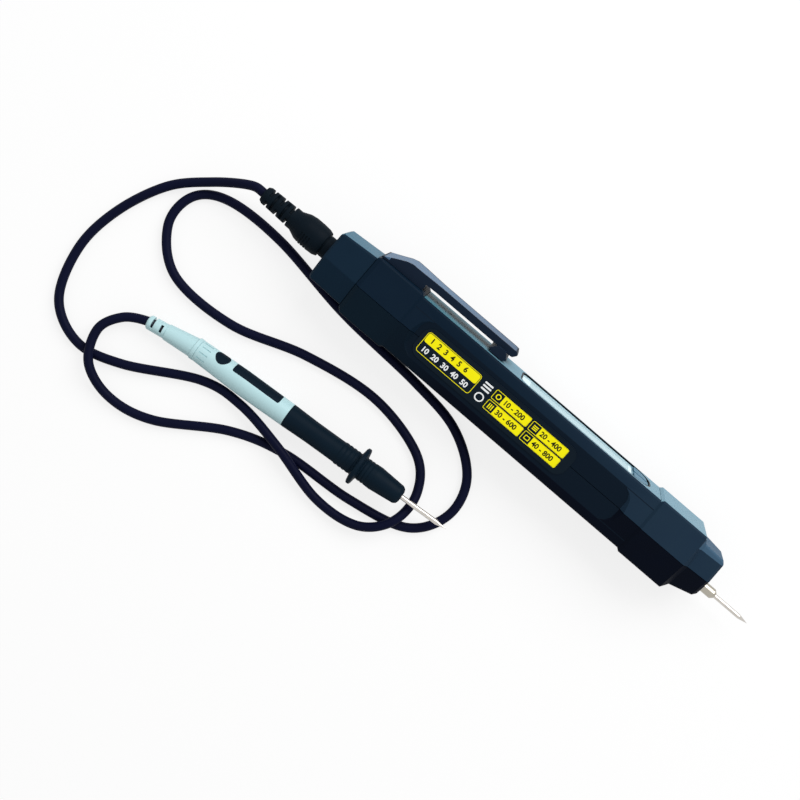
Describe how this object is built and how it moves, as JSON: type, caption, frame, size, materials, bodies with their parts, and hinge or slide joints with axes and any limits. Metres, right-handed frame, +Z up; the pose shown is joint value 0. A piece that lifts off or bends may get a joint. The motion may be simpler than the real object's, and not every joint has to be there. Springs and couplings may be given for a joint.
{
  "type": "pen multimeter with test lead",
  "caption": "Pen-shaped digital multimeter lying on its side flat, with a needle tip, display, keys, pocket clip, battery door and a plugged-in lead that ends in a hand-held test probe.",
  "frame": {"origin": "bottom centre of the box round the pen and the probe, without the lead and its plug; Z = 0 is the table that both lie on", "axes": "+X along the pen from the lead socket to the needle; +Y towards the side that the display face looks to; +Z up, out of the labelled side"},
  "size_m": [0.2866, 0.1178, 0.027],
  "materials": {
    "shell_black": "fine satin",
    "bezel_black": "gloss",
    "trim_grey": "satin gloss",
    "key_grey": "satin",
    "window_clear": "polished",
    "display_grey": "matte",
    "board_green": "gloss",
    "switch_steel": "satin",
    "buzzer_black": "matte",
    "lamp_clear": "polished",
    "label_print": "satin",
    "cell_jacket": "satin",
    "contact_steel": "bright",
    "screw_steel": "satin",
    "ferrule_brass": "satin",
    "needle_steel": "polished",
    "socket_brass": "polished",
    "plug_rubber": "matte",
    "lead_jacket": "satin",
    "probe_grey": "satin",
    "probe_black": "matte",
    "probe_needle_steel": "polished"
  },
  "bodies": {
    "pen": {"front_housing": "shell_black", "back_housing": "shell_black", "rear_cap": "shell_black", "rear_cap_trim": "trim_grey", "face_trim": "trim_grey", "nose_trim": "trim_grey", "display_bezel": "bezel_black", "display_window": "window_clear", "lcd_module": "display_grey", "circuit_board": "board_green", "key_switches": "switch_steel", "buzzer": "buzzer_black", "torch_lamp": "lamp_clear", "side_label": "label_print", "battery_cells": "cell_jacket", "battery_contacts": "contact_steel", "housing_screws": "screw_steel", "needle_ferrule": "ferrule_brass", "pen_needle": "needle_steel", "lead_socket": "socket_brass"},
    "clip": {"pocket_clip": "shell_black", "clip_inlay": "trim_grey"},
    "function_key": {"function_key": "key_grey"},
    "hold_key": {"hold_key": "key_grey"},
    "battery_door": {"battery_door": "shell_black"},
    "test_lead": {"lead_plug": "plug_rubber", "plug_pin": "socket_brass", "plug_boot": "plug_rubber", "lead_cable": "lead_jacket", "probe_boot": "probe_grey", "probe_tail": "probe_grey", "probe_handle": "probe_grey", "probe_dot": "probe_black", "probe_bar": "probe_black", "probe_front": "probe_black", "probe_needle": "probe_needle_steel"}
  },
  "joints": [
    {"name": "clip_flex", "type": "hinge", "parent": "pen", "child": "clip", "pos_m": [-0.0667, 0.03585, 0.01639], "axis": [0, -0.2419, 0.9703], "range_deg": [0, 5], "stiffness_Nm_per_rad": 0.3},
    {"name": "function_press", "type": "slide", "parent": "pen", "child": "function_key", "axis": [0, -0.9703, -0.2419], "range_m": [0, 0.0004], "stiffness_N_per_m": 400},
    {"name": "hold_press", "type": "slide", "parent": "pen", "child": "hold_key", "axis": [0, -0.9703, -0.2419], "range_m": [0, 0.0004], "stiffness_N_per_m": 400},
    {"name": "battery_door_swing", "type": "hinge", "parent": "pen", "child": "battery_door", "pos_m": [0.0071, 0.01275, 0.01063], "axis": [0, 0.2419, -0.9703], "range_deg": [0, 30]},
    {"name": "lead_pull", "type": "slide", "parent": "pen", "child": "test_lead", "axis": [-1, 0, 0], "range_m": [0, 0.02]}
  ]
}
